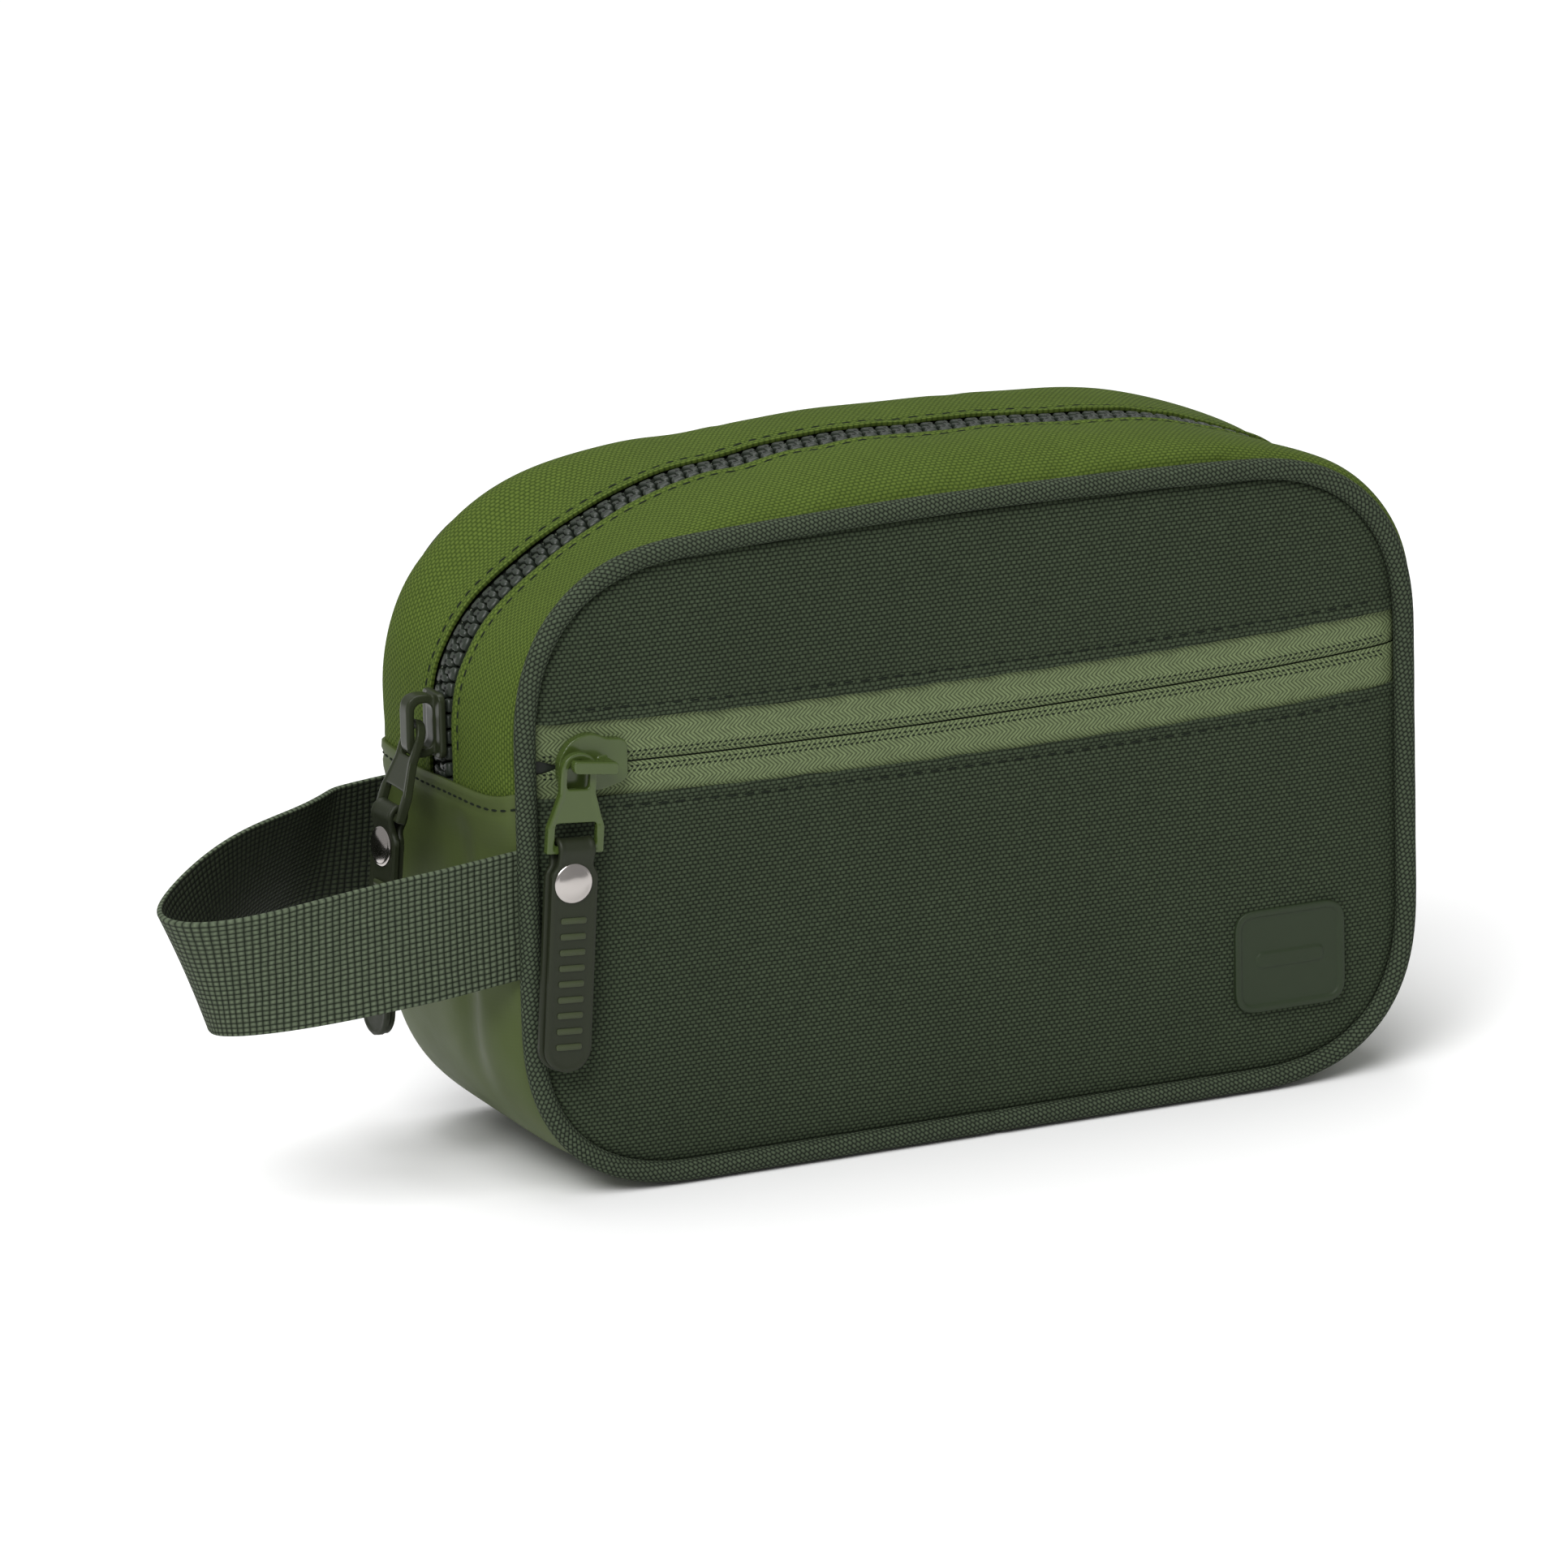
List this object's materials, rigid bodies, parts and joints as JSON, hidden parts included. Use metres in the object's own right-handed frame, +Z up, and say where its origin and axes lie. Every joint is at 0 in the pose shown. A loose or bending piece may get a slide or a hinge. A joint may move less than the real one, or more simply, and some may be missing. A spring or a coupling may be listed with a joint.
{
  "type": "wash bag",
  "caption": "Boxy zipped wash bag with piped edges, a front zip pocket, rubber zip pulls and a webbing grab loop at one side.",
  "frame": {"origin": "middle of the flat face under the lower gusset that the bag rests on", "axes": "+X along the length, away from the handle; +Y to the rear; +Z up; the pocket side faces -Y"},
  "size_m": [0.3269, 0.0919, 0.1688],
  "materials": {
    "front_weave": "coarse dark green basket weave",
    "gusset_weave": "olive green woven polyester",
    "coated_gusset": "olive fabric with a satin coating",
    "piping_weave": "dark green weave folded round a cord",
    "cord": "pale twisted filler cord",
    "pocket_tape": "sage green herringbone tape",
    "coil": "dark green nylon coil",
    "main_tape": "near black knitted tape",
    "teeth": "moulded grey green teeth",
    "lining": "plain thin grey lining",
    "foam": "closed cell foam",
    "binding": "black seam binding",
    "webbing": "ribbed green polyester webbing",
    "rubber": "soft dark olive rubber",
    "badge_rubber": "soft green rubber patch",
    "pocket_metal": "gloss olive paint on cast zinc",
    "main_metal": "gloss dark olive paint on cast zinc",
    "nickel": "polished nickel plate"
  },
  "bodies": {
    "bag": {"front_panel_upper": "front_weave", "front_panel_lower": "front_weave", "rear_panel": "front_weave", "pocket_zip_tape_upper": "pocket_tape", "pocket_zip_tape_lower": "pocket_tape", "pocket_zip_coil_upper": "coil", "pocket_zip_coil_lower": "coil", "pocket_backing": "lining", "front_padding": "foam", "front_lining": "lining", "rear_padding": "foam", "rear_lining": "lining", "top_gusset_front": "gusset_weave", "top_gusset_rear": "gusset_weave", "lower_gusset": "coated_gusset", "gusset_lining": "lining", "main_zip_tape_front": "main_tape", "main_zip_tape_rear": "main_tape", "main_zip_teeth_front": "teeth", "main_zip_teeth_rear": "teeth", "piping_cover_front": "piping_weave", "piping_cover_rear": "piping_weave", "piping_cord_front": "cord", "piping_cord_rear": "cord", "seam_binding_front": "binding", "seam_binding_rear": "binding", "badge": "badge_rubber"},
    "main_slider_body": {"main_slider": "main_metal"},
    "main_puller_body": {"main_puller": "main_metal"},
    "main_strap": {"main_pull_strap": "rubber", "main_rivet_cap": "nickel", "main_rivet_post": "nickel"},
    "pocket_slider_body": {"pocket_slider": "pocket_metal"},
    "pocket_puller_body": {"pocket_puller": "pocket_metal"},
    "pocket_strap": {"pocket_pull_strap": "rubber", "pocket_rivet_cap": "nickel", "pocket_rivet_post": "nickel"},
    "handle": {"handle_webbing": "webbing"}
  },
  "joints": [
    {"name": "main_slider_travel", "type": "hinge", "parent": "bag", "child": "main_slider_body", "pos_m": [-0.0845, 0, 0.1115], "axis": [0, 1, 0], "range_deg": [0, 50]},
    {"name": "main_puller_flip", "type": "hinge", "parent": "main_slider_body", "child": "main_puller_body", "pos_m": [-0.1284, 0, 0.112], "axis": [0, 1, 0], "range_deg": [0, 100]},
    {"name": "main_strap_hang", "type": "hinge", "parent": "main_puller_body", "child": "main_strap", "pos_m": [-0.13623, 0, 0.09048], "axis": [0, 1, 0], "range_deg": [-100, 0]},
    {"name": "pocket_slider_travel", "type": "slide", "parent": "bag", "child": "pocket_slider_body", "axis": [1, 0, 0], "range_m": [0, 0.2]},
    {"name": "pocket_puller_swing", "type": "hinge", "parent": "pocket_slider_body", "child": "pocket_puller_body", "pos_m": [-0.1064, -0.0458, 0.10885], "axis": [0, 1, 0], "range_deg": [-40, 60]},
    {"name": "pocket_strap_lift", "type": "hinge", "parent": "pocket_puller_body", "child": "pocket_strap", "pos_m": [-0.10812, -0.0458, 0.08922], "axis": [-0.9976, 0, 0.0698], "range_deg": [0, 110]},
    {"name": "handle_tilt", "type": "hinge", "parent": "bag", "child": "handle", "pos_m": [-0.1395, 0, 0.0736], "axis": [0, 1, 0], "range_deg": [-25, 25], "stiffness_Nm_per_rad": 0.08}
  ],
  "couplings": [
    {"joint": "main_strap_hang", "follows": "main_puller_flip", "ratio": -1}
  ]
}
